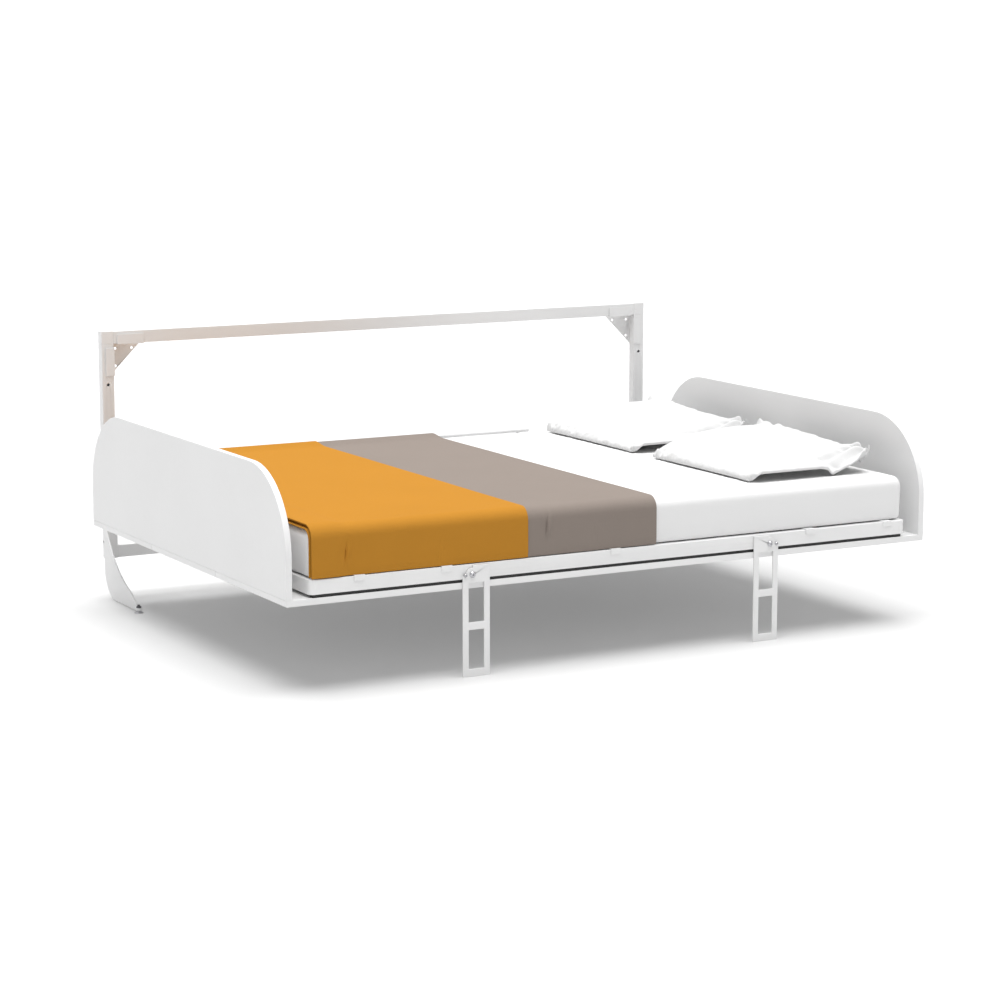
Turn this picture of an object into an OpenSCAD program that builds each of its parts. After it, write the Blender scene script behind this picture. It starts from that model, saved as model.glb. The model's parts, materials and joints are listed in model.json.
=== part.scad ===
// Horizontal wall bed, open. Head to foot runs along X, the wall is at +Y, the floor is Z = 0.
// The bed body folds up about a line near its rear edge, and two flat legs fold against its front rail.

/* [Bed body] */
// Length of the cabinet, end panel to end panel
bed_length = 2148; // [2140:1:2300]
// Depth of the cabinet, front edge to rear edge
bed_depth = 1476; // [1470:1:1560]
// Height of the cabinet's underside above the floor
bed_height = 254; // [250:1:262]
// Thickness of the boards and end panels
board_t = 18; // [16:1:20]
// Height of the end panels above the boards
panel_h = 355; // [345:1:365]
// Radius of the end panels' upper corners, whose rear centre is the fold axis
panel_r = 240; // [230:1:245]
// Width of the seam between two boards
seam = 2; // [0.5:0.5:2]

/* [Mattress frame] */
// Gap between the boards and the mattress frame
frame_gap = 9; // [8:1:12]
// Height of the frame's rails
rail_h = 42; // [40:1:44]
// Depth of the front and rear rails
rail_d = 30; // [28:1:32]
// Width of the side rails
side_w = 22; // [20:1:24]
// Distance from the cabinet's end to the frame
frame_inset = 70; // [70:1:72]
// Overall depth of the frame
frame_depth = 1435; // [1425:1:1440]
// Centres of the cross bars, measured from the left end of the cabinet
bar_x = [221, 493, 1044, 1726, 2011];
// Number of slats between one support and the next
slat_count = [1, 2, 4, 5, 2];
// Width of a slat
slat_w = 60; // [50:1:65]

/* [Bedding] */
// Length of the mattress
mattress_l = 2000; // [1980:1:2000]
// Width of the mattress
mattress_w = 1390; // [1380:1:1390]
// Thickness of the mattress
mattress_t = 136; // [120:1:140]
// Where the orange blanket ends and the taupe one starts, from the left end
orange_end = 755; // [600:1:900]
// Where the taupe blanket ends
taupe_end = 1185; // [1000:1:1300]
// Pillow length along the bed
pillow_l = 480; // [400:1:500]
// Pillow width across the bed
pillow_w = 570; // [500:1:600]
// Pillow thickness
pillow_t = 120; // [80:1:140]

/* [Wall frame] */
// Width over the two uprights
frame_w = 2016; // [2016:1:2020]
// Face width of the square-cornered steel tube
tube_w = 40; // [36:1:44]
// Depth of the tube
tube_d = 30; // [26:1:32]
// Wall of the tube
tube_wall = 2; // [1.5:0.5:3]
// Gap from the cabinet's rear edge to the uprights
wall_frame_gap = 67; // [60:1:75]
// Height of the top of the wall frame
top_z = 860; // [820:1:900]
// Height of the foot of the uprights
upright_z = 132; // [128:1:136]
// Height of the lower rail's underside
lower_rail_z = 130; // [130:1:150]
// Radius of the foot plate's inner curve about the fold axis
foot_arc_r = 347; // [330:1:355]

/* [Legs] */
// Distance from the cabinet's end to a leg's centre
leg_x = 584; // [560:1:620]
// Width of a leg
leg_w = 86; // [80:1:100]
// Height of a leg
leg_h = 320; // [315:1:325]
// Thickness of a leg's plate
leg_t = 5; // [4:1:6]
// Height of the leg's pivot above the floor
leg_pivot_z = 294; // [290:1:298]
// Width of the leg's side bars
leg_bar = 18; // [14:1:22]
// Height of the leg's cross bars
leg_rung = 22; // [18:1:26]

/* [Hidden] */
$fn = 48;
fit = 0.05;                       // radial clearance of a running fit
gap = 0.3;                        // space between pieces that move past each other
board_top = bed_height + board_t;
board_d = bed_depth / 3;
panel_top = board_top + panel_h;
pivot_y = bed_depth - panel_r;
pivot_z = panel_top - panel_r;
rail_z = board_top + frame_gap;
rail_top = rail_z + rail_h;

// wall frame
upright_x = (bed_length - frame_w) / 2;
upright_y = bed_depth + wall_frame_gap;
wall_y = upright_y + tube_d;
tube_r = 2;
block_z = top_z - tube_w;
cap_t = 3;
wall_hole_r = 4.5;
wall_hole_z = 690;
side_hole_r = 4;
side_hole_z = 180;
side_hole_in = 7;                 // from the tube's rear face
sheet_t = 2;
flange_gap = 1.5;                 // between a gusset's front flanges and the tubes
gusset_l = 102;
gusset_hole_x = 16;               // from the upright's inner face to the corner hole's centre
gusset_hole_z = 18;               // from the top rail's underside to the corner hole's centre
gusset_hole_low = 56;             // from the corner hole to each outer hole

// foot plates and levelling feet
foot_t = 5;
foot_lift = 5;
foot_rear_gap = 12;               // from the tube's rear face to the foot plate's rear edge
foot_heel_r = 90;
foot_front = 1275;
toe_top = 16;                     // height of the foot plate at its front end
toe_l = 70;                       // length over which it tapers to that
sleeve_r = 10;
level_bolt_r = 4;
level_x = upright_x + foot_t / 2;
pad_r = 14;
pad_t = 5;                        // the lower half is straight, the upper half tapers
pad_hub_r = 7;
pad_hub_h = 2.5;
sleeve_z = 8;
sleeve_h = 8;
level_nut_z = sleeve_z + sleeve_h;
level_nut_h = 5.5;
level_nut_r = 8.5;
level_bolt_h = 21;

// fold hinge, in the slot between the end panel and the mattress frame
arm_t = 6;
arm_x = upright_x - arm_t;
arm_eye_r = 42;
bush_r = 14;
pin_r = 10;
plate_t = 6;
plate_x = board_t;
arm_low = 300;
arm_high = 430;
circlip_t = 1.4;
plate_screw_r = 3;
plate_screw_head_r = 6;
plate_screw_circle = 38;
strut_pin_l = 10;

// gas struts: A is the pivot on the arm, B the one on the bed, both as [y, z]
strut_a = [pivot_y - 55, pivot_z - 72];
strut_b = [pivot_y - 300, pivot_z];
strut_len = norm(strut_b - strut_a);
strut_tilt = atan2(strut_a[0] - strut_b[0], strut_b[1] - strut_a[1]);
strut_x = 42;
strut_eye_w = 12;
strut_r = 11;
strut_bore_r = 9;
rod_r = 4;
stud_r = 6;
tube_start = 14;
tube_end = 200;
end_t = 4;
guide_t = 6;
piston_l = 6;
piston_rest = 3;                  // from the tube's closed end to the piston, at rest
strut_pin_r = 5;

// front legs and their bolts
leg_y = -1 - leg_t;
pivot_in = 30;                    // from the leg's outer edge to its pivot
stop_in = 7.5;                    // from the leg's outer edge to the stop bolt
stop_drop = 1;                    // how far the stop bolt sits below the pivot
pivot_bolt_r = 5;
pivot_head_r = 9;
stop_bolt_r = 3;
stop_head_r = 5.5;
head_h = 5.2;
cam_r = 19;
leg_left_x = leg_x - leg_w / 2;
pivot_bolt_x = leg_left_x + pivot_in;
stop_bolt_x = leg_left_x + stop_in;
stop_bolt_z = leg_pivot_z - stop_drop;
bolt_front = leg_y - gap - head_h;

// bedding
hook_t = 2.5;
hook_w = 33;
hook_drop = 16;
bed_z = rail_top + hook_t;
mattress_x = (bed_length - mattress_l) / 2;
mattress_y = 10;
mattress_top = bed_z + mattress_t;
blanket_t = 6;
blanket_gap = 0.4;
blanket_hem = rail_top + 8;
blanket_rear_hem = mattress_top - 90;
pillow_x = 1825;
pillow_front_y = 390;
pillow_rear_y = 1065;

// the whole object is centred on its own outline in plan
front_y = -(wall_y + bolt_front) / 2;

// ---- helpers -------------------------------------------------------------------------------------

// Left end, front edge and floor as the origin
module from_left() {
    translate([-bed_length / 2, front_y, 0]) children();
}

// The same place at the right end, as a mirror image
module from_right() {
    mirror([1, 0, 0]) from_left() children();
}

module both_ends() {
    from_left() children();
    from_right() children();
}

// An outline drawn as [y, z], thickened along +X from x
module side_plate(x, t) {
    translate([x, 0, 0]) rotate([90, 0, 90]) linear_extrude(t) children();
}

// An outline drawn as [x, z], thickened along +Y from y
module front_plate(y, t) {
    translate([0, y + t, 0]) rotate([90, 0, 0]) linear_extrude(t) children();
}

module rounded(w, h, r) {
    translate([r, 0]) square([w - 2 * r, h]);
    translate([0, r]) square([w, h - 2 * r]);
    for (x = [r, w - r], y = [r, h - r]) translate([x, y]) circle(r = r, $fn = 24);
}

module tube_section(w, h) {
    difference() {
        rounded(w, h, tube_r);
        translate([tube_wall, tube_wall]) square([w - 2 * tube_wall, h - 2 * tube_wall]);
    }
}

// A round bar along +X
module bar_x_dir(x, y, z, r, l) {
    translate([x, y, z]) rotate([0, 90, 0]) cylinder(r = r, h = l);
}

// A round bar along +Y
module bar_y_dir(x, y, z, r, l) {
    translate([x, y, z]) rotate([-90, 0, 0]) cylinder(r = r, h = l);
}

function on_circle(c, r, a) = [c[0] + r * cos(a), c[1] + r * sin(a)];

// ---- wall frame ----------------------------------------------------------------------------------

module upright() {
    color([0.90, 0.88, 0.85]) difference() {
        translate([upright_x, upright_y, upright_z]) linear_extrude(block_z - upright_z)
            tube_section(tube_w, tube_d);
        bar_y_dir(upright_x + tube_w / 2, upright_y - 1, wall_hole_z, wall_hole_r, tube_d + 2);
        bar_x_dir(upright_x - 1, wall_y - side_hole_in, side_hole_z, side_hole_r, tube_wall + 2);
    }
}

module cross_tube(z) {
    color([0.93, 0.92, 0.91]) from_left() side_plate(upright_x + tube_w, frame_w - 2 * tube_w)
        translate([upright_y, z]) tube_section(tube_d, tube_w);
}

module lower_rail() {
    cross_tube(lower_rail_z);
}

module top_rail() {
    cross_tube(block_z);
}

module corner_block() {
    color([0.92, 0.91, 0.90]) translate([upright_x, upright_y, block_z]) linear_extrude(tube_w)
        rounded(tube_w, tube_d, tube_r);
}

// Folded sheet: a pierced web against the wall, two walls along the tubes and two front flanges
module gusset() {
    in_x = upright_x + tube_w;
    low_z = block_z - gusset_l;
    notch = 12;
    flange = 30;
    hole_x = in_x + gusset_hole_x;
    hole_z = block_z - gusset_hole_z;
    front = upright_y - flange_gap - sheet_t;
    color([0.90, 0.89, 0.87]) {
        front_plate(wall_y - sheet_t, sheet_t) difference() {
            polygon([[in_x, low_z], [in_x, block_z], [in_x + gusset_l, block_z]]);
            translate([hole_x, hole_z]) circle(r = wall_hole_r);
            translate([hole_x + gusset_hole_low, hole_z]) circle(r = wall_hole_r);
            translate([hole_x, hole_z - gusset_hole_low]) circle(r = wall_hole_r);
        }
        translate([in_x, front, low_z]) cube([sheet_t, wall_y - front, gusset_l - notch]);
        translate([in_x + notch, front, block_z - sheet_t])
            cube([gusset_l - notch, wall_y - front, sheet_t]);
        translate([in_x + sheet_t - flange, front, low_z])
            cube([flange, sheet_t, gusset_l - notch]);
        translate([in_x + notch, front, block_z - sheet_t])
            cube([gusset_l - notch, sheet_t, flange + sheet_t]);
    }
}

module upright_caps() {
    color([0.88, 0.87, 0.86]) both_ends() translate([upright_x, upright_y, upright_z - cap_t])
        linear_extrude(cap_t) rounded(tube_w, tube_d, tube_r);
}

// Inner edge concentric with the fold axis, rounded heel at the wall
module foot_outline() {
    inner_z = pivot_z - sqrt(pow(foot_arc_r, 2) - pow(upright_y - pivot_y, 2));
    rear = wall_y - foot_rear_gap;
    heel = [rear - foot_heel_r, foot_lift + foot_heel_r];
    difference() {
        union() {
            translate([foot_front, foot_lift]) square([upright_y - foot_front, inner_z - foot_lift]);
            translate([upright_y, foot_lift])
                square([rear - upright_y, upright_z - cap_t - foot_lift]);
        }
        translate([pivot_y, pivot_z]) circle(r = foot_arc_r, $fn = 96);
        polygon([[foot_front - 1, toe_top], [foot_front + toe_l, 60], [foot_front + toe_l, 90],
            [foot_front - 1, 90]]);
        difference() {
            translate([heel[0], foot_lift]) square([foot_heel_r, foot_heel_r]);
            translate(heel) circle(r = foot_heel_r, $fn = 96);
        }
    }
}

module foot_plate() {
    color([0.80, 0.80, 0.80]) difference() {
        side_plate(upright_x, foot_t) foot_outline();
        translate([level_x, foot_front, 0]) cylinder(r = sleeve_r, h = 100);
    }
}

module leveller_sleeves() {
    color([0.70, 0.70, 0.70]) both_ends() translate([level_x, foot_front, sleeve_z]) difference() {
        cylinder(r = sleeve_r, h = sleeve_h);
        translate([0, 0, -1]) cylinder(r = level_bolt_r + fit, h = sleeve_h + 2);
    }
}

module leveller_bolts() {
    color([0.25, 0.25, 0.26]) both_ends() translate([level_x, foot_front, pad_t])
        cylinder(r = level_bolt_r, h = level_bolt_h);
}

module leveller_nuts() {
    color([0.20, 0.20, 0.20]) both_ends() translate([level_x, foot_front, level_nut_z]) difference() {
        cylinder(r = level_nut_r, h = level_nut_h, $fn = 6);
        translate([0, 0, -1]) cylinder(r = level_bolt_r + fit, h = level_nut_h + 2);
    }
}

module leveller_pads() {
    color([0.72, 0.72, 0.73]) both_ends() translate([level_x, foot_front, 0]) {
        cylinder(r = pad_r, h = pad_t / 2);
        translate([0, 0, pad_t / 2]) cylinder(r1 = pad_r, r2 = pad_hub_r + 2, h = pad_t / 2);
        translate([0, 0, pad_t]) difference() {
            cylinder(r = pad_hub_r, h = pad_hub_h);
            cylinder(r = level_bolt_r + fit, h = pad_hub_h + 1);
        }
    }
}

// Plate welded to the outer face of an upright, with an eye on the fold axis and one for the strut
module hinge_arm() {
    p = [pivot_y, pivot_z];
    strut_eye_r = 20;
    color([0.85, 0.85, 0.85]) difference() {
        side_plate(arm_x, arm_t) union() {
            translate(p) circle(r = arm_eye_r);
            translate(strut_a) circle(r = strut_eye_r);
            polygon([
                on_circle(p, arm_eye_r, 170), on_circle(strut_a, strut_eye_r, 170),
                on_circle(strut_a, strut_eye_r, -90), [upright_y, arm_low], [wall_y, arm_low],
                [wall_y, arm_high], on_circle(p, arm_eye_r, 90)
            ]);
        }
        bar_x_dir(arm_x - 1, pivot_y, pivot_z, bush_r, arm_t + 2);
        bar_x_dir(arm_x - 1, strut_a[0], strut_a[1], stud_r, arm_t + 2);
    }
}

module hinge_bushes() {
    color([0.72, 0.55, 0.25]) both_ends() difference() {
        bar_x_dir(arm_x - 2, pivot_y, pivot_z, bush_r, arm_t + 4);
        bar_x_dir(arm_x - 3, pivot_y, pivot_z, pin_r + fit, arm_t + 6);
    }
}

module strut_studs() {
    color([0.6, 0.6, 0.62]) both_ends() {
        inner = strut_x - strut_eye_w / 2 - gap;
        bar_x_dir(inner, strut_a[0], strut_a[1], stud_r, arm_x + arm_t - inner);
        bar_x_dir(inner - 3, strut_a[0], strut_a[1], stud_r + 3, 3);
    }
}

// ---- cabinet -------------------------------------------------------------------------------------

module board(i) {
    color([0.93, 0.93, 0.93]) from_left()
        translate([0, i * board_d + (i > 0 ? seam / 2 : 0), bed_height])
        cube([bed_length, board_d - (i == 1 ? seam : seam / 2), board_t]);
}

module front_board() {
    board(0);
}

module middle_board() {
    board(1);
}

module rear_board() {
    board(2);
}

module end_panel() {
    color([0.88, 0.88, 0.89]) side_plate(0, board_t) translate([0, board_top]) intersection() {
        square([bed_depth, panel_h]);
        union() {
            square([bed_depth, panel_h - panel_r]);
            translate([panel_r, 0]) square([bed_depth - 2 * panel_r, panel_h]);
            for (y = [panel_r, bed_depth - panel_r])
                translate([y, panel_h - panel_r]) circle(r = panel_r, $fn = 128);
        }
    }
}

// Angles that hold the end panels to the boards
module panel_cleats() {
    cleat_l = 40;
    cleat_t = 3;
    color([0.75, 0.75, 0.76]) both_ends() for (y = [150, 580, 1010]) {
        translate([board_t, y, board_top]) cube([cleat_l, cleat_l, cleat_t]);
        translate([board_t, y, board_top]) cube([cleat_t, cleat_l, cleat_l]);
    }
}

module pivot_plate() {
    p = [pivot_y, pivot_z];
    r = 55;
    end_r = 22;
    color([0.8, 0.8, 0.81]) difference() {
        side_plate(plate_x, plate_t) union() {
            translate(p) circle(r = r);
            translate(strut_b) circle(r = end_r);
            polygon([
                on_circle(p, r, 96), on_circle(p, r, 264), on_circle(strut_b, end_r, 264),
                on_circle(strut_b, end_r, 96)
            ]);
        }
        bar_x_dir(plate_x - 1, pivot_y, pivot_z, pin_r, plate_t + 2);
        for (a = [45:90:315]) {
            c = on_circle(p, plate_screw_circle, a);
            bar_x_dir(plate_x - 1, c[0], c[1], plate_screw_r, plate_t + 2);
        }
    }
    color([0.6, 0.6, 0.62]) bar_x_dir(plate_x + plate_t, strut_b[0], strut_b[1],
        strut_pin_r, strut_pin_l);
}

module plate_screws() {
    color([0.6, 0.6, 0.62]) both_ends() for (a = [45:90:315]) {
        c = on_circle([pivot_y, pivot_z], plate_screw_circle, a);
        bar_x_dir(plate_x, c[0], c[1], plate_screw_r, plate_t);
        bar_x_dir(plate_x + plate_t, c[0], c[1], plate_screw_head_r, 3);
    }
}

module pivot_pins() {
    clip_x = arm_x + arm_t + 2 + gap;
    color([0.62, 0.62, 0.65]) both_ends() {
        bar_x_dir(plate_x, pivot_y, pivot_z, pin_r, clip_x - plate_x);
        bar_x_dir(clip_x, pivot_y, pivot_z, pin_r + 3, circlip_t);
    }
}

// ---- mattress frame ------------------------------------------------------------------------------

module long_rail(y) {
    side_plate(frame_inset + side_w, bed_length - 2 * (frame_inset + side_w))
        translate([y, rail_z]) tube_section(rail_d, rail_h);
}

module front_rail() {
    color([0.92, 0.92, 0.92]) difference() {
        from_left() long_rail(0);
        both_ends() {
            bar_y_dir(pivot_bolt_x, -1, leg_pivot_z, pivot_bolt_r, rail_d + 2);
            bar_y_dir(stop_bolt_x, -1, stop_bolt_z, stop_bolt_r, tube_wall + 2);
        }
    }
}

module rear_rail() {
    color([0.92, 0.92, 0.92]) from_left() long_rail(frame_depth - rail_d);
}

module side_rail() {
    color([0.90, 0.90, 0.90]) front_plate(rail_d, frame_depth - 2 * rail_d)
        translate([frame_inset, rail_z]) tube_section(side_w, rail_h);
}

// Solid corner with a large outer radius, joining a side rail to a long rail
module corner_piece() {
    r = 16;
    linear_extrude(rail_h) difference() {
        square([side_w, rail_d]);
        difference() {
            square([r, r]);
            translate([r, r]) circle(r = r);
        }
    }
}

module front_corners() {
    color([0.91, 0.91, 0.91]) both_ends() translate([frame_inset, 0, rail_z]) corner_piece();
}

module rear_corners() {
    color([0.91, 0.91, 0.91]) both_ends() translate([frame_inset, frame_depth, rail_z])
        mirror([0, 1, 0]) corner_piece();
}

// Strips that carry the frame on the boards, set back from its front and rear faces
module frame_spacers() {
    strip_d = 20;
    inset = 5;
    end_gap = 12;
    color([0.06, 0.06, 0.06]) from_left() for (y = [inset, frame_depth - inset - strip_d])
        translate([frame_inset + end_gap, y, board_top])
            cube([bed_length - 2 * (frame_inset + end_gap), strip_d, frame_gap]);
}

module cross_bars() {
    bar_h = 20;
    color([0.85, 0.85, 0.85]) from_left() for (x = bar_x)
        translate([x - hook_w / 2, 0, rail_top - bar_h])
            front_plate(rail_d, frame_depth - 2 * rail_d) tube_section(hook_w, bar_h);
}

// Strap over the rail's top edge that ends in a short lip down its outer face
module bar_hook() {
    reach = 60;
    translate([0, -hook_t, rail_top]) cube([hook_w, reach, hook_t]);
    translate([0, -hook_t, bed_z - hook_drop]) cube([hook_w, hook_t, hook_drop]);
}

module bar_hooks() {
    color([0.92, 0.92, 0.92]) from_left() for (x = bar_x) {
        translate([x - hook_w / 2, 0, 0]) bar_hook();
        translate([x - hook_w / 2, frame_depth, 0]) mirror([0, 1, 0]) bar_hook();
    }
}

// Slats share the space between each support and the next
function slat_centre(i, k) =
    let (a = i == 0 ? frame_inset + side_w : bar_x[i - 1])
    a + (bar_x[i] - a) * (k + 1) / (slat_count[i] + 1);

cap_l = 26;
cap_h = 14;
slat_t = 8;
slat_z = rail_top - cap_h;

module slats() {
    color([0.80, 0.66, 0.45]) from_left()
        for (i = [0:len(slat_count) - 1]) for (k = [0:slat_count[i] - 1])
            translate([slat_centre(i, k) - slat_w / 2, rail_d + 3, slat_z + 3])
                cube([slat_w, frame_depth - 2 * rail_d - 6, slat_t]);
}

module slat_caps() {
    color([0.10, 0.10, 0.10]) from_left()
        for (i = [0:len(slat_count) - 1]) for (k = [0:slat_count[i] - 1])
            for (end = [0, 1]) translate([slat_centre(i, k), end * frame_depth, slat_z])
                mirror([0, end, 0]) difference() {
                    translate([-slat_w / 2 - 3, rail_d, 0]) cube([slat_w + 6, cap_l, cap_h]);
                    translate([-slat_w / 2, rail_d + 3, 3]) cube([slat_w, cap_l, slat_t]);
                }
}

// Bar along the middle of the rear rail that keeps the mattress in place
stop_bar_l = 950;
stop_bar_y = frame_depth - 14;
stop_bar_r = 7;
stop_bar_z = mattress_top + 8 - stop_bar_r;

module stop_bar() {
    color([0.95, 0.95, 0.95]) translate([0, front_y, 0])
        bar_x_dir(-stop_bar_l / 2, stop_bar_y, stop_bar_z, stop_bar_r, stop_bar_l);
}

// Their tops are shaped to the bar
module stop_bar_posts() {
    post_r = 6;
    inset = 40;
    color([0.95, 0.95, 0.95]) for (x = [-stop_bar_l / 2 + inset, 0, stop_bar_l / 2 - inset])
        translate([x, front_y, 0]) difference() {
            translate([0, stop_bar_y, rail_top]) cylinder(r = post_r, h = stop_bar_z - rail_top);
            bar_x_dir(-post_r - 1, stop_bar_y, stop_bar_z, stop_bar_r, 2 * post_r + 2);
        }
}

// ---- bedding -------------------------------------------------------------------------------------

// Sprung mattress: padding all round a closed hollow, where the springs are
module mattress() {
    r = 25;
    side = 60;
    pad = 16;
    color([0.97, 0.97, 0.97]) from_left() translate([mattress_x, mattress_y, bed_z]) difference() {
        linear_extrude(mattress_t) rounded(mattress_l, mattress_w, r);
        translate([side, side, pad])
            cube([mattress_l - 2 * side, mattress_w - 2 * side, mattress_t - 2 * pad]);
    }
}

// Top, front drop and short rear drop, as one folded strip
module blanket(x0, x1) {
    y0 = mattress_y - blanket_gap - blanket_t;
    y1 = mattress_y + mattress_w + blanket_gap;
    top = mattress_top + blanket_gap;
    from_left() side_plate(x0, x1 - x0) {
        translate([y0, top]) square([y1 + blanket_t - y0, blanket_t]);
        translate([y0, blanket_hem]) square([blanket_t, top - blanket_hem + blanket_t]);
        translate([y1, blanket_rear_hem]) square([blanket_t, top - blanket_rear_hem + blanket_t]);
    }
}

module blanket_orange() {
    color([0.87, 0.60, 0.26]) blanket(mattress_x + 2, orange_end - blanket_gap);
}

module blanket_taupe() {
    color([0.62, 0.57, 0.53]) blanket(orange_end + blanket_gap, taupe_end);
}

module pillow(y) {
    flat = 10;
    edge = 90;
    r = 40;
    z = mattress_top + blanket_gap;
    color([0.96, 0.96, 0.96]) from_left() translate([pillow_x - pillow_l / 2, y - pillow_w / 2, z])
        hull() {
            translate([edge, edge, 0]) linear_extrude(flat)
                rounded(pillow_l - 2 * edge, pillow_w - 2 * edge, r);
            translate([0, 0, pillow_t * 0.4]) linear_extrude(flat) rounded(pillow_l, pillow_w, r);
            translate([edge, edge, pillow_t - flat]) linear_extrude(flat)
                rounded(pillow_l - 2 * edge, pillow_w - 2 * edge, r);
        }
}

module pillow_front() {
    pillow(pillow_front_y);
}

module pillow_rear() {
    pillow(pillow_rear_y);
}

// ---- front legs ----------------------------------------------------------------------------------

// Flat ladder. The upper outer corner is cut back to a cam round the pivot: the stop bolt runs in it
// from the shoulder at rest to the step a quarter turn later.
module leg() {
    shoulder_z = stop_bolt_z - stop_bolt_r - gap;
    step_x = pivot_in + stop_bolt_r - stop_drop + gap;
    top_plate = leg_h - leg_pivot_z + 24;
    window_h = (leg_h - top_plate - 2 * leg_rung) / 2;
    color([0.93, 0.93, 0.93]) front_plate(leg_y, leg_t) translate([leg_left_x, 0]) difference() {
        square([leg_w, leg_h]);
        for (z = [leg_rung, 2 * leg_rung + window_h])
            translate([leg_bar, z]) square([leg_w - 2 * leg_bar, window_h]);
        difference() {
            translate([-1, shoulder_z]) square([step_x + 1, leg_h - shoulder_z + 1]);
            translate([pivot_in, leg_pivot_z]) circle(r = cam_r);
        }
        translate([pivot_in, leg_pivot_z]) circle(r = pivot_bolt_r + fit);
    }
}

// Button head with a hex socket; the shank runs to +Y from the head's underside
module button_bolt(x, z, shank_r, head_r, shank_l) {
    edge = head_h * 0.45;
    translate([x, bolt_front, z]) rotate([-90, 0, 0]) {
        difference() {
            union() {
                cylinder(r1 = head_r * 0.7, r2 = head_r, h = head_h - edge);
                translate([0, 0, head_h - edge]) cylinder(r = head_r, h = edge);
            }
            translate([0, 0, -1]) cylinder(r = head_r * 0.36, h = head_h * 0.5 + 1, $fn = 6);
        }
        translate([0, 0, head_h]) cylinder(r = shank_r, h = shank_l);
    }
}

nut_h = 7;

module leg_pivot_bolts() {
    color([0.85, 0.85, 0.86]) both_ends() button_bolt(pivot_bolt_x, leg_pivot_z, pivot_bolt_r,
        pivot_head_r, rail_d + nut_h - leg_y + gap + 1);
}

module leg_stop_bolts() {
    color([0.85, 0.85, 0.86]) both_ends() button_bolt(stop_bolt_x, stop_bolt_z, stop_bolt_r,
        stop_head_r, tube_wall - leg_y + gap);
}

module leg_washers() {
    color([0.8, 0.8, 0.8]) both_ends() difference() {
        bar_y_dir(pivot_bolt_x, -1 + gap, leg_pivot_z, pivot_head_r + 2, 1 - gap);
        bar_y_dir(pivot_bolt_x, -2, leg_pivot_z, pivot_bolt_r, 3);
    }
}

module leg_nuts() {
    color([0.7, 0.7, 0.7]) both_ends() translate([pivot_bolt_x, rail_d, leg_pivot_z])
        rotate([-90, 0, 0]) difference() {
            cylinder(r = pivot_head_r + 0.5, h = nut_h, $fn = 6);
            translate([0, 0, -1]) cylinder(r = pivot_bolt_r, h = nut_h + 2);
        }
}

// ---- gas struts ----------------------------------------------------------------------------------

// Local Z runs from the pivot on the arm to the pivot on the bed
module along_strut() {
    translate([strut_x, strut_a[0], strut_a[1]]) rotate([strut_tilt, 0, 0]) children();
}

module strut_eye(z, outer_r, hole_r) {
    translate([-strut_eye_w / 2, 0, z]) rotate([0, 90, 0]) difference() {
        cylinder(r = outer_r, h = strut_eye_w);
        translate([0, 0, -1]) cylinder(r = hole_r, h = strut_eye_w + 2);
    }
}

module strut_tube() {
    eye_r = 12;
    color([0.12, 0.12, 0.12]) along_strut() {
        strut_eye(0, eye_r, stud_r + fit);
        difference() {
            translate([0, 0, eye_r - 1]) cylinder(r = strut_r, h = tube_end - eye_r + 1);
            translate([0, 0, tube_start + end_t])
                cylinder(r = strut_bore_r, h = tube_end - guide_t - tube_start - end_t);
            cylinder(r = rod_r + fit, h = strut_len);
            rotate([0, 90, 0]) translate([0, 0, -strut_r - 1])
                cylinder(r = eye_r - 0.5, h = 2 * strut_r + 2);
        }
    }
}

module strut_rod() {
    eye_r = 9;
    rod_start = tube_start + end_t + piston_rest;
    color([0.75, 0.75, 0.77]) along_strut() {
        translate([0, 0, rod_start]) cylinder(r = rod_r, h = strut_len - eye_r + 1 - rod_start);
        translate([0, 0, rod_start]) cylinder(r = strut_bore_r - 0.1, h = piston_l);
        strut_eye(strut_len, eye_r, strut_pin_r + 0.1);
    }
}

// ---- assembly ------------------------------------------------------------------------------------

from_left() upright();  // upright_left
from_right() upright();  // upright_right
top_rail();
lower_rail();
from_left() corner_block();  // corner_block_left
from_right() corner_block();  // corner_block_right
from_left() gusset();  // gusset_left
from_right() gusset();  // gusset_right
upright_caps();
from_left() foot_plate();  // foot_plate_left
from_right() foot_plate();  // foot_plate_right
leveller_sleeves();
leveller_bolts();
leveller_nuts();
leveller_pads();
from_left() hinge_arm();  // hinge_arm_left
from_right() hinge_arm();  // hinge_arm_right
hinge_bushes();
strut_studs();
front_board();
middle_board();
rear_board();
from_left() end_panel();  // end_panel_left
from_right() end_panel();  // end_panel_right
panel_cleats();
from_left() pivot_plate();  // pivot_plate_left
from_right() pivot_plate();  // pivot_plate_right
pivot_pins();
plate_screws();
front_rail();
rear_rail();
from_left() side_rail();  // side_rail_left
from_right() side_rail();  // side_rail_right
front_corners();
rear_corners();
frame_spacers();
cross_bars();
bar_hooks();
slats();
slat_caps();
stop_bar();
stop_bar_posts();
mattress();
blanket_orange();
blanket_taupe();
pillow_front();
pillow_rear();
leg_pivot_bolts();
leg_stop_bolts();
leg_washers();
leg_nuts();
from_left() leg();  // leg_left
from_right() leg();  // leg_right
from_left() strut_tube();  // strut_tube_left
from_right() strut_tube();  // strut_tube_right
from_left() strut_rod();  // strut_rod_left
from_right() strut_rod();  // strut_rod_right
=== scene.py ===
import json
import math

import bpy
import numpy as np
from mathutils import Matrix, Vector, noise


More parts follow.
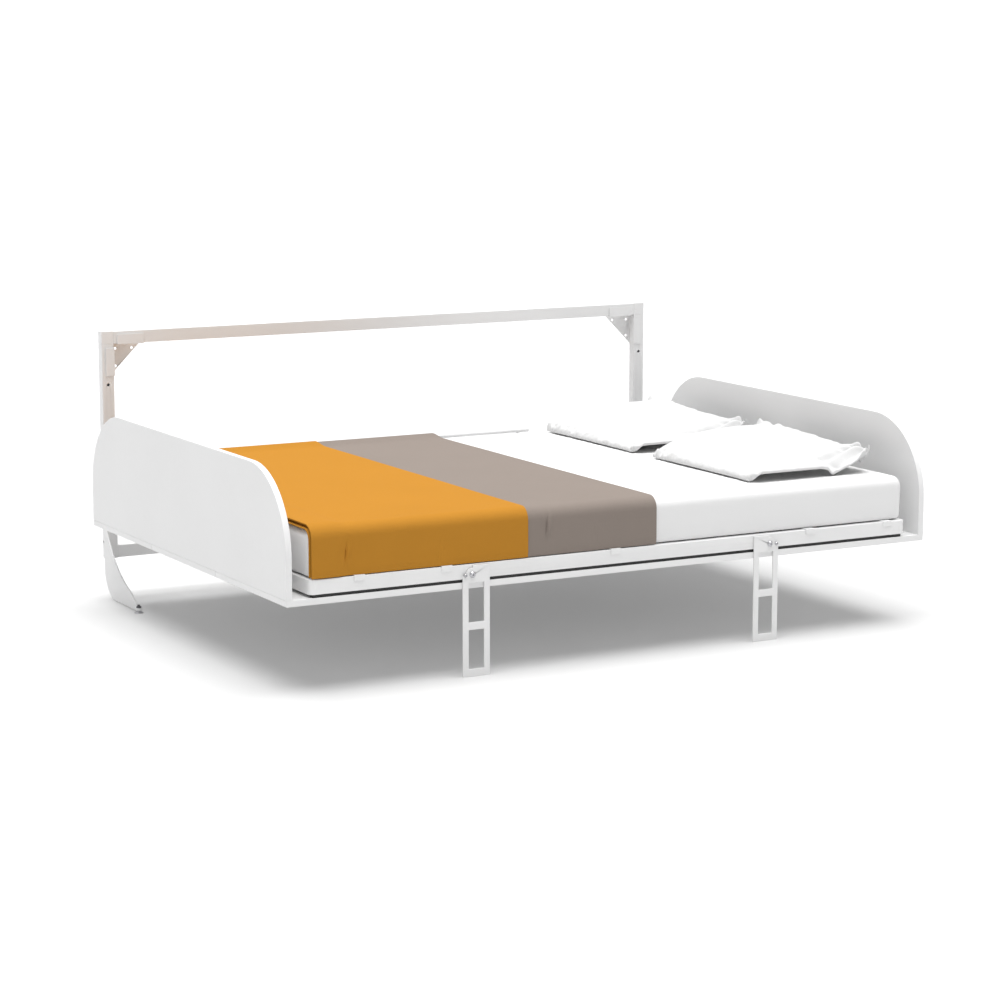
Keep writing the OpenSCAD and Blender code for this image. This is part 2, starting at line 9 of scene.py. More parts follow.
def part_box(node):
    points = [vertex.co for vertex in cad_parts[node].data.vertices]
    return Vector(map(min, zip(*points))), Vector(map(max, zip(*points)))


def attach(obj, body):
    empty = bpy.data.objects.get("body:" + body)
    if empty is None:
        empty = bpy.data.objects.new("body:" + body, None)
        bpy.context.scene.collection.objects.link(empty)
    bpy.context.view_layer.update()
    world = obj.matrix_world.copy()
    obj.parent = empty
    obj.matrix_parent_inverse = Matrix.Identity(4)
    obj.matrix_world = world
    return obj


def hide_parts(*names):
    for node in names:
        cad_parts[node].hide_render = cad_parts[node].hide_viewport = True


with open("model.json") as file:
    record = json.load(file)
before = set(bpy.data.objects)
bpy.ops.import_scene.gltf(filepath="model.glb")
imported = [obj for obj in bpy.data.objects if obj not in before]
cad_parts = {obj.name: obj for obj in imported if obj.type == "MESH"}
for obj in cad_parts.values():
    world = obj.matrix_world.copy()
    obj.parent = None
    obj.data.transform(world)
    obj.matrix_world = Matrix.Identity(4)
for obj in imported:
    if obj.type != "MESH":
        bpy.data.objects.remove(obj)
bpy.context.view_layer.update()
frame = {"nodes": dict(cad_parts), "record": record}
nodes = frame["nodes"]
scene = bpy.context.scene


# ---- materials ----------------------------------------------------------------------------------

class Shader:
    """A node material: a Principled surface with procedural colour, roughness and relief."""

    def __init__(self, name, coords="Object"):
        self.material = bpy.data.materials.new(name)
        self.material.use_nodes = True
        self.tree = self.material.node_tree
        self.tree.nodes.clear()
        out = self.add("ShaderNodeOutputMaterial")
        self.surface = self.add("ShaderNodeBsdfPrincipled")
        self.link(self.surface.outputs[0], out.inputs["Surface"])
        self.coords = self.add("ShaderNodeTexCoord").outputs[coords]

    def add(self, kind, **values):
        """A node. Each value goes to the input of that name or, where there is none, to the setting."""
        node = self.tree.nodes.new(kind)
        for name, value in values.items():
            key = name.replace("_", " ").title()
            if key in node.inputs:
                node.inputs[key].default_value = value
            else:
                setattr(node, name, value)
        return node

    def link(self, a, b):
        self.tree.links.new(a, b)

    def mapped(self, scale):
        mapping = self.add("ShaderNodeMapping")
        mapping.inputs["Scale"].default_value = scale
        self.link(self.coords, mapping.inputs["Vector"])
        return mapping.outputs[0]

    def noise(self, scale, detail=3.0, stretch=(1, 1, 1)):
        tex = self.add("ShaderNodeTexNoise", scale=scale, detail=detail)
        self.link(self.mapped(stretch), tex.inputs["Vector"])
        return tex.outputs["Fac"]

    def bands(self, scale, axis, distortion):
        tex = self.add("ShaderNodeTexWave", scale=scale, distortion=distortion)
        tex.bands_direction = axis
        self.link(self.mapped((1, 1, 1)), tex.inputs["Vector"])
        return tex.outputs["Fac"]

    def math(self, operation, a, b):
        node = self.add("ShaderNodeMath", operation=operation)
        for socket, value in ((node.inputs[0], a), (node.inputs[1], b)):
            if isinstance(value, (int, float)):
                socket.default_value = value
            else:
                self.link(value, socket)
        return node.outputs[0]

    def blend(self, a, b, share):
        """share of a and the rest of b."""
        return self.math("ADD", self.math("MULTIPLY", a, share), self.math("MULTIPLY", b, 1 - share))

    def ranged(self, value, low, high):
        """A noise's usual values, 0.3 to 0.7, spread over low to high."""
        node = self.add("ShaderNodeMapRange")
        node.inputs["From Min"].default_value = 0.3
        node.inputs["From Max"].default_value = 0.7
        node.inputs["To Min"].default_value = low
        node.inputs["To Max"].default_value = high
        self.link(value, node.inputs["Value"])
        return node.outputs[0]

    def colour(self, factor, base, spread):
        """The base colour, from a share darker to the same share lighter as factor rises."""
        node = self.add("ShaderNodeMix", data_type="RGBA")
        self.link(self.ranged(factor, 0, 1), node.inputs[0])
        node.inputs[6].default_value = (*(c * (1 - spread) for c in base), 1)
        node.inputs[7].default_value = (*(min(1, c * (1 + spread)) for c in base), 1)
        self.link(node.outputs[2], self.surface.inputs["Base Color"])

    def roughness(self, factor, low, high):
        self.link(self.ranged(factor, low, high), self.surface.inputs["Roughness"])

    def bump(self, *layers):
        """Each layer is (height, strength, distance in metres), laid one over the other."""
        normal = None
        for height, strength, distance in layers:
            node = self.add("ShaderNodeBump", strength=strength, distance=distance)
            self.link(height, node.inputs["Height"])
            if normal:
                self.link(normal, node.inputs["Normal"])
            normal = node.outputs[0]
        self.link(normal, self.surface.inputs["Normal"])


def powder_coat(name, base):
    s = Shader(name)
    s.colour(s.noise(5, 2), base, 0.02)
    s.roughness(s.noise(40, 3), 0.42, 0.56)
    s.bump((s.noise(1400, 2), 0.18, 0.0002), (s.noise(220, 2), 0.10, 0.0002))
    s.surface.inputs["Specular IOR Level"].default_value = 0.35
    return s.material


def laminate(name, base):
    s = Shader(name)
    s.colour(s.noise(3, 2), base, 0.012)
    s.roughness(s.noise(60, 3), 0.46, 0.60)
    s.bump((s.noise(700, 4, (1, 1, 0.3)), 0.14, 0.0002))
    s.surface.inputs["Specular IOR Level"].default_value = 0.3
    return s.material


def metal(name, base, low, high, streak=(1, 1, 1)):
    s = Shader(name)
    s.surface.inputs["Metallic"].default_value = 1.0
    s.colour(s.noise(90, 3, streak), base, 0.10)
    s.roughness(s.noise(300, 3, streak), low, high)
    s.bump((s.noise(1200, 2, streak), 0.12, 0.0001))
    return s.material


def plastic(name, base):
    s = Shader(name)
    s.colour(s.noise(60, 3), base, 0.12)
    s.roughness(s.noise(200, 3), 0.55, 0.75)
    s.bump((s.noise(1800, 2), 0.30, 0.0002))
    return s.material


def gloss_paint(name, base):
    s = Shader(name)
    s.colour(s.noise(30, 3), base, 0.10)
    s.roughness(s.noise(120, 3), 0.18, 0.30)
    s.bump((s.noise(400, 2), 0.05, 0.0001))
    return s.material


def birch(name, base):
    s = Shader(name)
    grain = s.noise(28, 6, (9, 0.6, 9))
    fine = s.noise(160, 4, (6, 0.25, 6))
    s.colour(s.blend(grain, fine, 0.7), base, 0.22)
    s.roughness(fine, 0.42, 0.62)
    s.bump((fine, 0.25, 0.0003))
    return s.material


def cloth(name, base, pitch, spread, sheen, slub, fuzz):
    """Plain weave: two sets of threads, with slubs that run along them."""
    s = Shader(name, "UV")
    weave = s.math("MAXIMUM", s.bands(1 / pitch, "X", 0.4), s.bands(1 / pitch, "Y", 0.4))
    slubs = s.blend(s.noise(60, 4, (6, 0.35, 1)), s.noise(60, 4, (0.35, 6, 1)), 0.5)
    s.colour(s.blend(slubs, s.noise(4, 3), 0.6), base, spread)
    s.roughness(slubs, 0.82, 0.95)
    s.bump((weave, 0.35, pitch * 0.25), (slubs, slub, 0.0008), (s.noise(900, 3), fuzz, 0.0004))
    s.surface.inputs["Sheen Weight"].default_value = sheen
    s.surface.inputs["Sheen Roughness"].default_value = 0.5
    s.surface.inputs["Specular IOR Level"].default_value = 0.06
    return s.material


def grey(value):
    return (value, value, value)


WHITE = grey(0.76)
STREAKED = (1, 1, 0.05)
LOOKS = {
    "frame_paint": powder_coat("frame_paint", WHITE),
    "bed_paint": powder_coat("bed_paint", WHITE),
    "board": laminate("board", WHITE),
    "zinc": metal("zinc", (0.52, 0.52, 0.54), 0.30, 0.48),
    "black_plastic": plastic("black_plastic", grey(0.022)),
    "dark_steel": metal("dark_steel", (0.16, 0.16, 0.17), 0.35, 0.55),
    "bush": metal("bush", (0.62, 0.44, 0.20), 0.35, 0.50),
    "slat_wood": birch("slat_wood", (0.62, 0.45, 0.27)),
    "ticking": cloth("ticking", WHITE, pitch=0.0012, spread=0.010, sheen=0.05, slub=0.15, fuzz=0.10),
    "orange_cloth": cloth("orange_cloth", (0.445, 0.200, 0.026), pitch=0.0020, spread=0.035,
                          sheen=0.0, slub=0.30, fuzz=0.25),
    "taupe_cloth": cloth("taupe_cloth", (0.243, 0.206, 0.181), pitch=0.0020, spread=0.035,
                         sheen=0.02, slub=0.30, fuzz=0.25),
    "pillow_cotton": cloth("pillow_cotton", grey(0.62), pitch=0.0011, spread=0.010,
                           sheen=0.0, slub=0.15, fuzz=0.10),
    "strut_paint": gloss_paint("strut_paint", grey(0.012)),
    "rod_chrome": metal("rod_chrome", (0.78, 0.78, 0.80), 0.06, 0.12, STREAKED),
}


# ---- helpers ------------------------------------------------------------------------------------

def modifier(o, kind, **values):
    m = o.modifiers.new(kind.lower(), kind)
    for name, value in values.items():
        setattr(m, name, value)


def bevel(o, width, segments, angle):
    modifier(o, "BEVEL", width=width, segments=segments, limit_method="ANGLE",
             angle_limit=math.radians(angle))


def build(name, verts, faces, look, flat):
    """A smooth mesh. flat gives each vertex's place on the flat cloth, in metres, for the weave."""
    mesh = bpy.data.meshes.new(name)
    mesh.from_pydata([tuple(v) for v in verts], [], faces)
    mesh.materials.append(LOOKS[look])
    layer = mesh.uv_layers.new(name="flat")
    index = np.zeros(len(mesh.loops), int)
    mesh.loops.foreach_get("vertex_index", index)
    layer.data.foreach_set("uv", np.asarray(flat, float)[index].ravel())
    mesh.polygons.foreach_set("use_smooth", [True] * len(mesh.polygons))
    o = bpy.data.objects.new(name, mesh)
    scene.collection.objects.link(o)
    return o


def smooth(a, b, x):
    """0 up to a, 1 from b on, and an S-curve between them."""
    t = np.clip((np.asarray(x, float) - a) / (b - a), 0, 1)
    return t * t * (3 - 2 * t)


def bell(x, centre, width):
    return np.exp(-((np.asarray(x, float) - centre) / width) ** 2)


def soft_noise(x, y, scale, seed):
    places = zip(np.ravel(x), np.ravel(y))
    return np.array([noise.noise(Vector((a * scale, b * scale, seed))) for a, b in places])


def spaced(a, b, r, inner, edge):
    """Places from a to b, edge of them close together within r of each end."""
    ends = np.array([r * (1 - math.cos(math.pi / 2 * k / edge)) for k in range(edge)])
    return np.concatenate([a + ends, np.linspace(a + r, b - r, inner), b - ends[::-1]])


# ---- the CAD's own pieces -----------------------------------------------------------------------

SOFT_NODES = ("mattress", "blanket_orange", "blanket_taupe", "pillow_front", "pillow_rear")
# widths of the worn edges, and of those on every other material
EDGE = {"board": 0.0018, "frame_paint": 0.0010, "bed_paint": 0.0010, "slat_wood": 0.0012}
FINE_EDGE = 0.0004
WELD_WITHIN = 0.00002

for part in frame["record"]["subparts"]:
    node, slot = nodes[part["node"]], part["material_slot"]
    if node.name in SOFT_NODES:
        continue
    node.data.materials.clear()
    node.data.materials.append(LOOKS[slot])
    modifier(node, "WELD", merge_threshold=WELD_WITHIN)
    bevel(node, EDGE.get(slot, FINE_EDGE), 2, 40)
    modifier(node, "WEIGHTED_NORMAL", keep_sharp=True)


# ---- mattress, in a fitted sheet ----------------------------------------------------------------

low, high = (np.array(v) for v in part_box("mattress"))
FRONT, TOP = float(low[1]), float(high[2])


def boxed(xs, ys, zs):
    """Points and faces of a box whose six sides are cut at these places."""
    points, faces, found = [], [], {}

    def at(i, j, k):
        if (i, j, k) not in found:
            found[i, j, k] = len(points)
            points.append((xs[i], ys[j], zs[k]))
        return found[i, j, k]

    nx, ny, nz = len(xs) - 1, len(ys) - 1, len(zs) - 1
    for i in range(nx):
        for j in range(ny):
            faces.append((at(i, j, 0), at(i, j + 1, 0), at(i + 1, j + 1, 0), at(i + 1, j, 0)))
            faces.append((at(i, j, nz), at(i + 1, j, nz), at(i + 1, j + 1, nz), at(i, j + 1, nz)))
    for i in range(nx):
        for k in range(nz):
            faces.append((at(i, 0, k), at(i + 1, 0, k), at(i + 1, 0, k + 1), at(i, 0, k + 1)))
            faces.append((at(i, ny, k), at(i, ny, k + 1), at(i + 1, ny, k + 1), at(i + 1, ny, k)))
    for j in range(ny):
        for k in range(nz):
            faces.append((at(0, j, k), at(0, j, k + 1), at(0, j + 1, k + 1), at(0, j + 1, k)))
            faces.append((at(nx, j, k), at(nx, j + 1, k), at(nx, j + 1, k + 1), at(nx, j, k + 1)))
    return np.array(points), faces


def mattress():
    """The CAD's box with round edges, slightly uneven, with gathers above the sheet's elastic hem."""
    r_top, r_low, r_corner = 0.032, 0.012, 0.022
    fine, edge = 0.03, 7
    cuts = [spaced(a, b, fine, inner, edge) for a, b, inner in zip(low, high, (90, 64, 7))]
    p, faces = boxed(*cuts)
    x, y, z = p.T
    middle = (low + high) / 2
    upper = z > middle[2]
    r = np.where(upper, r_top, r_low)
    # the plan's corners: square rings round the core become round ones
    core = np.clip(p[:, :2], low[:2] + r_corner, high[:2] - r_corner)
    out = p[:, :2] - core
    length = np.linalg.norm(out, axis=1)
    reach = np.abs(out).max(1)
    direction = out / np.maximum(length, 1e-9)[:, None]
    plan = core + direction * reach[:, None]
    # the edges along the top and bottom: a and b rise to 1 at the side and at the top or bottom
    a = np.clip(1 - np.clip(r_corner - reach, 0, None) / r, 0, 1)
    b = np.clip(1 - np.where(upper, high[2] - z, z - low[2]) / r, 0, 1)
    cut = 1 - np.maximum(a, b) / np.maximum(np.hypot(a, b), 1e-9)
    q = p.copy()
    q[:, :2] = plan - direction * (a * cut * r)[:, None]
    q[:, 2] -= np.where(upper, 1, -1) * b * cut * r
    # a slight crown and soft unevenness
    u = (x - middle[0]) / (high[0] - low[0]) * 2
    v = (y - middle[1]) / (high[1] - low[1]) * 2
    lift = smooth(low[2], high[2], z)
    q[:, 2] -= lift * (0.0012 * (u ** 4 + v ** 4) / 2 + 0.0008 * (1 + soft_noise(x, y, 3.5, 3.0)))
    # gathers above the hem, and the hem drawn in
    along = np.where(np.abs(direction[:, 0]) > np.abs(direction[:, 1]), y, x)
    gather = soft_noise(along, z * 0.15, 34, 9.0) + 0.6 * soft_noise(along, z * 0.1, 75, 2.0)
    pull = 0.0016 * bell(z, low[2] + 0.012, 0.035) * (0.5 + gather) + 0.0020 * bell(z, low[2], 0.02)
    q[:, :2] -= direction * pull[:, None]
    flat = np.stack([x + z * (np.abs(u) > 0.99), y + z * (np.abs(v) > 0.99)], 1)
    o = build("mattress_cover", q, faces, "ticking", flat)
    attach(o, "bed")
    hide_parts("mattress")


mattress()


# ---- blankets -----------------------------------------------------------------------------------

# the rear and the top of the bar behind the mattress
BAR_Y, BAR_Z = (float(v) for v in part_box("stop_bar")[1][1:])
CLOTH = 0.0042
R_FRONT, R_REAR = 0.034, 0.008


def bend(y, z, r, start, end, count):
    """Places and outward directions on an arc about (y, z), in degrees up from the rear."""
    turns = [math.radians(a) for a in np.linspace(start, end, count)]
    return [(y + r * math.cos(a), z + r * math.sin(a), math.cos(a), math.sin(a)) for a in turns]


def across(drop_front, drop_rear, off):
    """A blanket's line across the bed, off the mattress by off and over the bar behind it.

    Each place is (y, z, outward y, outward z, length so far)."""
    y0, z1 = FRONT - off, TOP + off
    y1, z2 = BAR_Y + off, BAR_Z + off
    climb_from, climb_to = y1 - 0.085, y1 - 0.012
    out = [(y0, z, -1, 0) for z in np.linspace(drop_front, z1 - R_FRONT, 15)[:-1]]
    out += bend(y0 + R_FRONT, z1 - R_FRONT, R_FRONT, 180, 90, 13)
    for y in np.linspace(y0 + R_FRONT, y1 - R_REAR, 96)[1:-1]:
        out.append((y, z1 + (z2 - z1) * float(smooth(climb_from, climb_to, y)), 0, 1))
    out += bend(y1 - R_REAR, z2 - R_REAR, R_REAR, 90, 0, 9)
    out += [(y1, z, 1, 0) for z in np.linspace(z2 - R_REAR, drop_rear, 8)[1:]]
    out = np.array(out)
    steps = np.linalg.norm(np.diff(out[:, :2], axis=0), axis=1)
    return np.column_stack([out, np.concatenate([[0], np.cumsum(steps)])])


def draped(name, look, line, xs, rise_at, thickness, edge):
    """Cloth along line at each of xs, raised by rise_at(x, y, z, outward y, length so far)."""
    verts, flat = [], []
    for x in xs:
        y, z, out_y, out_z, s = line.T
        rise = rise_at(x, y, z, out_y, s)
        here = np.full(len(s), x)
        verts += list(zip(here, y + out_y * rise, z + out_z * rise))
        flat += list(zip(here, s))
    n = len(line)
    firsts = [row * n + i for row in range(len(xs) - 1) for i in range(n - 1)]
    faces = [(i + 1, i + n + 1, i + n, i) for i in firsts]
    o = build(name, verts, faces, look, flat)
    modifier(o, "SOLIDIFY", thickness=thickness, offset=0, use_rim=True)
    bevel(o, edge, 3, 50)
    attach(o, "bed")
    return o


def blanket(name, cad, look, seed, creases, loft=0.0, doubled=False):
    """A blanket and its flat size. Each crease in its front drop is (x, z, reach up and down, depth).

    loft is its height over the mattress, and doubled is for a left edge with a layer turned under."""
    lo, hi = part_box(cad)
    x0, x1 = lo[0] + 0.0005, hi[0] - 0.0002
    front_hem, rear_hem, gap = lo[2] - 0.005, hi[2] - 0.092, 0.0012
    line = across(front_hem, rear_hem, gap + CLOTH / 2 + loft)
    cuts = [np.linspace(x0, x1, 84), x0 + np.linspace(0, 0.06, 9), x1 - np.linspace(0, 0.012, 4)]
    cuts += [np.linspace(crease[0] - 0.014, crease[0] + 0.020, 18) for crease in creases]

    def rise_at(x, y, z, out_y, s):
        # soft waves that grow down the drops, and slight ones on top
        here = np.full(len(s), x)
        drop = np.abs(out_y)
        fall = np.clip((TOP - z) / (TOP - lo[2]), 0, 1)
        wave = soft_noise(here, z * 0.2 + y * 0.05, 9, seed)
        ripple = soft_noise(here, z * 0.3, 26, seed + 4)
        top = soft_noise(here, y, 4.2, seed + 8)
        rise = drop * fall * (0.0016 * (wave + 0.55) + 0.0007 * ripple)
        rise = np.maximum(rise + (1 - drop) * 0.0006 * (top + 0.4), -0.0006 * drop)
        for crease_x, crease_z, reach, depth in creases:
            lean = crease_x + (z - crease_z) * 0.12
            fold = 0.8 * bell(x, lean + 0.006, 0.0045) - 0.7 * bell(x, lean - 0.002, 0.003)
            rise += bell(z, crease_z, reach) * (out_y < -0.5) * depth * fold
        if doubled:
            turned_under, rounded_edge = smooth(x0 + 0.115, x0 + 0.070, x), smooth(x0 + 0.012, x0, x)
            rise += 0.0052 * turned_under - 0.0016 * rounded_edge
        hem_drawn_in = smooth(lo[2] + 0.012, lo[2], z) * drop
        return rise - 0.0015 * hem_drawn_in

    o = draped(name, look, line, np.unique(np.concatenate(cuts)), rise_at, CLOTH, 0.0016)
    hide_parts(cad)
    return o, (float(x1 - x0), float(line[-1, 4]))


def hem_band(cad):
    """The orange blanket's turned-under layer, which shows below its left edge."""
    lo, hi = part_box(cad)
    x0 = lo[0] + 0.0005
    front_hem, rear_hem, gap = lo[2] - 0.003, hi[2] - 0.088, 0.0010
    line = across(front_hem, rear_hem, gap + CLOTH / 2)

    def rise_at(x, y, z, out_y, s):
        # the edge presses into the mattress, unevenly
        wobble = soft_noise(np.full(len(s), x * 0.2), s, 16, 41)
        return -(0.0042 + 0.0012 * wobble) * smooth(x0 + 0.020, x0 - 0.004, x)

    xs = x0 + np.linspace(-0.0035, 0.066, 16)
    return draped(cad + "_hem", "orange_cloth", line, xs, rise_at, CLOTH * 0.8, 0.0013)


orange, orange_flat = blanket("orange_blanket", "blanket_orange", "orange_cloth", seed=5.0,
                              creases=[(-0.891, 0.388, 0.024, 0.0060), (-0.60, 0.372, 0.03, 0.0010)],
                              loft=0.0030, doubled=True)
hem = hem_band("blanket_orange")
taupe, taupe_flat = blanket("taupe_blanket", "blanket_taupe", "taupe_cloth", seed=17.0,
                            creases=[(-0.2545, 0.408, 0.026, 0.0064), (-0.10, 0.37, 0.022, 0.0008)])


# ---- pillows ------------------------------------------------------------------------------------
# Places are u and v, 0 to 1 from the left and the front edge, or left, right, front and rear, which
# are metres in from each edge. Heights are metres over the mattress.

PILLOW_WIDTH = 0.455
FOLD = 0.645  # u of the fold in the front edge


def cushion(us, vs):
    """Two grids of places (u, v, side) that share their rim, and the faces of both."""
    nu, nv = len(us), len(vs)
    grid, faces, index = [], [], {}
    for side in (1, -1):
        for i in range(nu):
            for j in range(nv):
                if side < 0 and (i in (0, nu - 1) or j in (0, nv - 1)):
                    index[side, i, j] = index[1, i, j]
                    continue
                index[side, i, j] = len(grid)
                grid.append((us[i], vs[j], side))
        for i in range(nu - 1):
            for j in range(nv - 1):
                corners = ((i, j), (i + 1, j), (i + 1, j + 1), (i, j + 1))
                faces.append([index[(side, *corner)] for corner in corners[::side]])
    return np.array(grid).T, faces


def seam_height(u, v, front):
    """Thin at the left and propped up at the right, with one V-shaped fold in the front edge."""
    rise = 0.072 * (1 - np.exp(-u / 0.22))
    at_front = np.interp(u, (0, 0.03, 0.06, 0.60, 0.80, 0.90, 1),
                         (0.004, 0.010, 0.0275, 0.0275, 0.043, 0.054, 0.058))
    fold = np.interp(u, (0.560, 0.615, FOLD, 0.675, 0.78, 0.90), (0, 0.006, 0.0265, 0.024, 0.014, 0))
    near = bell(front, 0, 0.060)
    seam = (0.0065 + rise * (0.62 + 0.38 * v)) * (1 - near) + at_front * near
    return seam - fold * bell(front, 0, 0.034)


def roll(u, front):
    """The rolled ridge beside the fold, and the groove behind it that runs up to the right corner."""
    along = (u - FOLD) / 0.30
    ridge = front - 0.010 - 0.030 * along
    reach = smooth(-0.10, 0.15, along) * smooth(1.15, 0.85, along)
    return (0.006 * bell(ridge, 0.012, 0.012) - 0.013 * bell(ridge, 0.034, 0.011)) * reach


def corner_fans(right, front, rear):
    """Creases that fan out from the two right corners."""
    total = 0
    for dx, dy, strength, count, phase in ((right + 0.01, front - 0.035, 0.0120, 10, 0.4),
                                           (right + 0.01, rear + 0.010, 0.0060, 8, 1.9)):
        far = np.hypot(dx, dy)
        fan = np.sin(np.arctan2(dy, dx) * count + phase + 8 * far)
        total = total + strength * fan * bell(far, 0.045, 0.050) * smooth(0.0, 0.030, far)
    return total


def crease(left, front, start, end, depth, width):
    """A crease that runs from start to end, each (left, front), with a low ridge on one side."""
    dx, dy = end[0] - start[0], end[1] - start[1]
    length = math.hypot(dx, dy)
    t = np.clip(((left - start[0]) * dx + (front - start[1]) * dy) / length ** 2, 0, 1)
    off_x, off_y = left - start[0] - t * dx, front - start[1] - t * dy
    off = (off_x * dy - off_y * dx) / length
    fade = smooth(1.3, 0.5, t) * bell(np.hypot(off_x, off_y), 0, 3 * width)
    return depth * fade * (0.7 * bell(off, -1.3 * width, width) - bell(off, 0, width))


# each crease of a pillow is (start, end, depth, width)
CREASES = (
    ((0.425, 0.062), (0.330, 0.105), 0.010, 0.0075),
    ((0.415, 0.050), (0.300, 0.046), 0.008, 0.0065),
    ((0.430, 0.095), (0.365, 0.180), 0.009, 0.0080),
    ((0.310, 0.012), (0.262, 0.052), 0.007, 0.0060),
    ((0.350, 0.125), (0.318, 0.190), 0.005, 0.0070),
    ((0.395, 0.560), (0.430, 0.470), 0.006, 0.0080),
)


def resting(z, gap=0.0010, ease=0.003):
    """Heights eased so that the pillow lies on the mattress, gap above it."""
    return np.where(z < gap + ease, gap + ease * np.exp(np.minimum(z - gap - ease, 0) / ease), z)


def pillow(name, cad, seed):
    """A wedge over the mattress, whose folds, gathers and creases are added to its two sides."""
    lo, hi = (np.array(v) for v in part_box(cad))
    depth, fine, edge = float(hi[1] - lo[1]), 0.020, 8
    (u, v, side), faces = cushion(spaced(0, 1, fine / PILLOW_WIDTH, 74, edge),
                                  spaced(0, 1, fine / depth, 92, edge))
    left, right, front, rear = u * PILLOW_WIDTH, (1 - u) * PILLOW_WIDTH, v * depth, (1 - v) * depth
    x, y = lo[0] + left, lo[1] + front
    # round rim, then the crown above, and the underside that falls away to the mattress
    seam = seam_height(u, v, front)
    rim = 0.0046 + bell(left, 0, 0.03) * (0.0024 + 0.0030 * smooth(0.80, 1.0, v))
    inset = np.minimum.reduce([left, right, front, rear])
    curve = rim * (1 - (1 - np.clip(inset / rim, 0, 1)) ** 3) ** (1 / 3)
    crown = 0.016
    for distance, reach in ((left, 0.05), (right, 0.05), (front, 0.06), (rear, 0.05)):
        crown = crown * (1 - np.exp(-distance / reach))
    top = seam + curve + crown + roll(u, front)
    bottom = seam - curve - 0.10 * smooth(0.095, 0.170, inset)
    # a tuck along the front, left of the fold
    top -= 0.0060 * bell(front, 0.040, 0.006) * smooth(0.36, 0.50, u) * smooth(0.70, 0.62, u)
    # gathers along the seams, strongest at the thin left edge and its rear corner
    gather = 0.7 - 2.2 * np.abs(soft_noise(y, left * 0.6, 30, seed))
    gather += 0.6 * soft_noise(y, left, 80, seed + 3)
    top += 0.0080 * gather * bell(left, 0.010, 0.014) * (0.5 + 1.3 * smooth(0.45, 1.0, v))
    bottom += 0.0020 * gather * bell(left, 0.0, 0.02)
    ripple = soft_noise(x, front * 0.5, 30, seed + 5) + 0.6 * soft_noise(x, front, 70, seed + 8)
    top += 0.0022 * ripple * bell(front, 0.012, 0.022) * smooth(0.02, 0.08, u)
    top += 0.0045 * soft_noise(y, right * 0.4, 30, seed + 11) * bell(right, 0.015, 0.05)
    # a stitched line inside the left and front edges
    top -= 0.0012 * bell(left, 0.030, 0.003) * smooth(0.02, 0.06, v)
    top -= 0.0012 * bell(front, 0.026, 0.003) * smooth(0.60, 0.50, u)
    top += corner_fans(right, front, rear)
    for line in CREASES:
        top += crease(left, front, *line)
    # ears at the right corners, the tuck beside the front one, and the knob at the front left corner
    ear = bell(right, 0.0, 0.026) * bell(front, 0.0, 0.024)
    spike = bell(right, 0.046, 0.013) * bell(rear, 0.0, 0.016)
    tuck = bell(front, 0.060, 0.008) * bell(right, 0.0, 0.028)
    knob = bell(left, 0.006, 0.014) * bell(front, 0.004, 0.016)
    for half in (top, bottom):
        half += 0.012 * ear + 0.022 * spike - 0.034 * tuck
    top += 0.010 * bell(front, 0.090, 0.016) * bell(right, 0.0, 0.030)
    top += 0.010 * knob - 0.009 * bell(left, 0.026, 0.005) * bell(front, 0.0, 0.018)
    y += 0.020 * knob
    x -= 0.0050 * gather * bell(left, 0, 0.016) + 0.026 * ear + 0.012 * tuck
    x += 0.004 * np.sin(v * 9 + seed) * bell(right, 0, 0.03)
    z = TOP + resting(np.where(side > 0, top, bottom))
    verts, flat = np.column_stack([x, y, z]), np.column_stack([left + side, front])
    o = build(name, verts, faces, "pillow_cotton", flat)
    modifier(o, "SUBSURF", levels=1, render_levels=1)
    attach(o, "bed")
    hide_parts(cad)


pillow("front_pillow", "pillow_front", 2.0)
pillow("rear_pillow", "pillow_rear", 6.0)


# ---- floor, light and camera --------------------------------------------------------------------

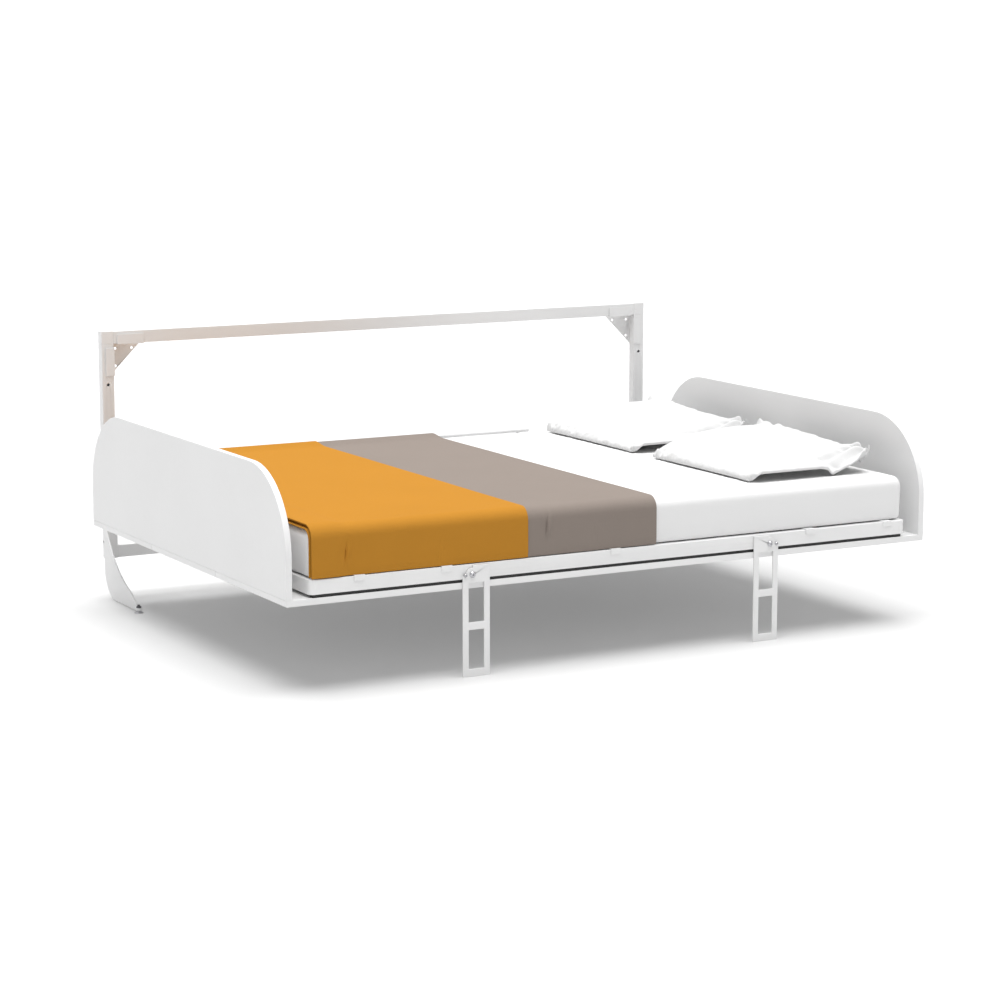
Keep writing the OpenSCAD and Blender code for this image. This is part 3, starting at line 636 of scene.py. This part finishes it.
def floor_stage(r=300):
    """A pale floor that glows a little, so that it stays near white away from the sun's shade."""
    s = Shader("floor")
    s.colour(s.noise(1.5, 2), grey(0.56), 0.004)
    s.roughness(s.noise(8, 2), 0.88, 0.96)
    s.bump((s.noise(120, 2), 0.03, 0.0005))
    s.surface.inputs["Specular IOR Level"].default_value = 0.0
    s.surface.inputs["Emission Color"].default_value = (1, 1, 1, 1)
    s.surface.inputs["Emission Strength"].default_value = 0.115
    mesh = bpy.data.meshes.new("floor")
    mesh.from_pydata([(-r, -r, 0), (r, -r, 0), (r, r, 0), (-r, r, 0)], [], [(0, 1, 2, 3)])
    mesh.materials.append(s.material)
    o = bpy.data.objects.new("floor", mesh)
    scene.collection.objects.link(o)


def sky():
    """Even soft light, white along the horizon and dimmer overhead."""
    world = bpy.data.worlds.new("studio")
    world.use_nodes = True
    tree = world.node_tree
    tree.nodes.clear()
    out = tree.nodes.new("ShaderNodeOutputWorld")
    back = tree.nodes.new("ShaderNodeBackground")
    coords = tree.nodes.new("ShaderNodeTexCoord")
    split = tree.nodes.new("ShaderNodeSeparateXYZ")
    ramp = tree.nodes.new("ShaderNodeMapRange")
    ramp.interpolation_type = "SMOOTHSTEP"
    ramp.inputs["From Min"].default_value = 0.02
    ramp.inputs["From Max"].default_value = 0.12
    ramp.inputs["To Min"].default_value = 1.1
    ramp.inputs["To Max"].default_value = 0.46
    tree.links.new(coords.outputs["Generated"], split.inputs[0])
    tree.links.new(split.outputs["Z"], ramp.inputs["Value"])
    tree.links.new(ramp.outputs[0], back.inputs["Strength"])
    back.inputs["Color"].default_value = (1, 1, 1, 1)
    tree.links.new(back.outputs[0], out.inputs["Surface"])
    scene.world = world


def sun():
    """A wide, soft sun straight overhead."""
    data = bpy.data.lights.new("overhead", "SUN")
    data.energy = 4.5
    data.angle = math.radians(60)
    o = bpy.data.objects.new("overhead", data)
    scene.collection.objects.link(o)


floor_stage()
sky()
sun()

scene.view_settings.view_transform = "Standard"
scene.view_settings.look = "None"

# the camera that was solved for the photo's perspective
lens = bpy.data.cameras.new("camera")
lens.lens = 101.44
lens.sensor_width = 36
lens.clip_end = 1000
camera = bpy.data.objects.new("camera", lens)
camera.location = (-4.1713, -7.65045, 1.8068)
camera.rotation_euler = (math.radians(90 - 9.4853), 0, math.radians(-28.6923))
scene.collection.objects.link(camera)
scene.camera = camera
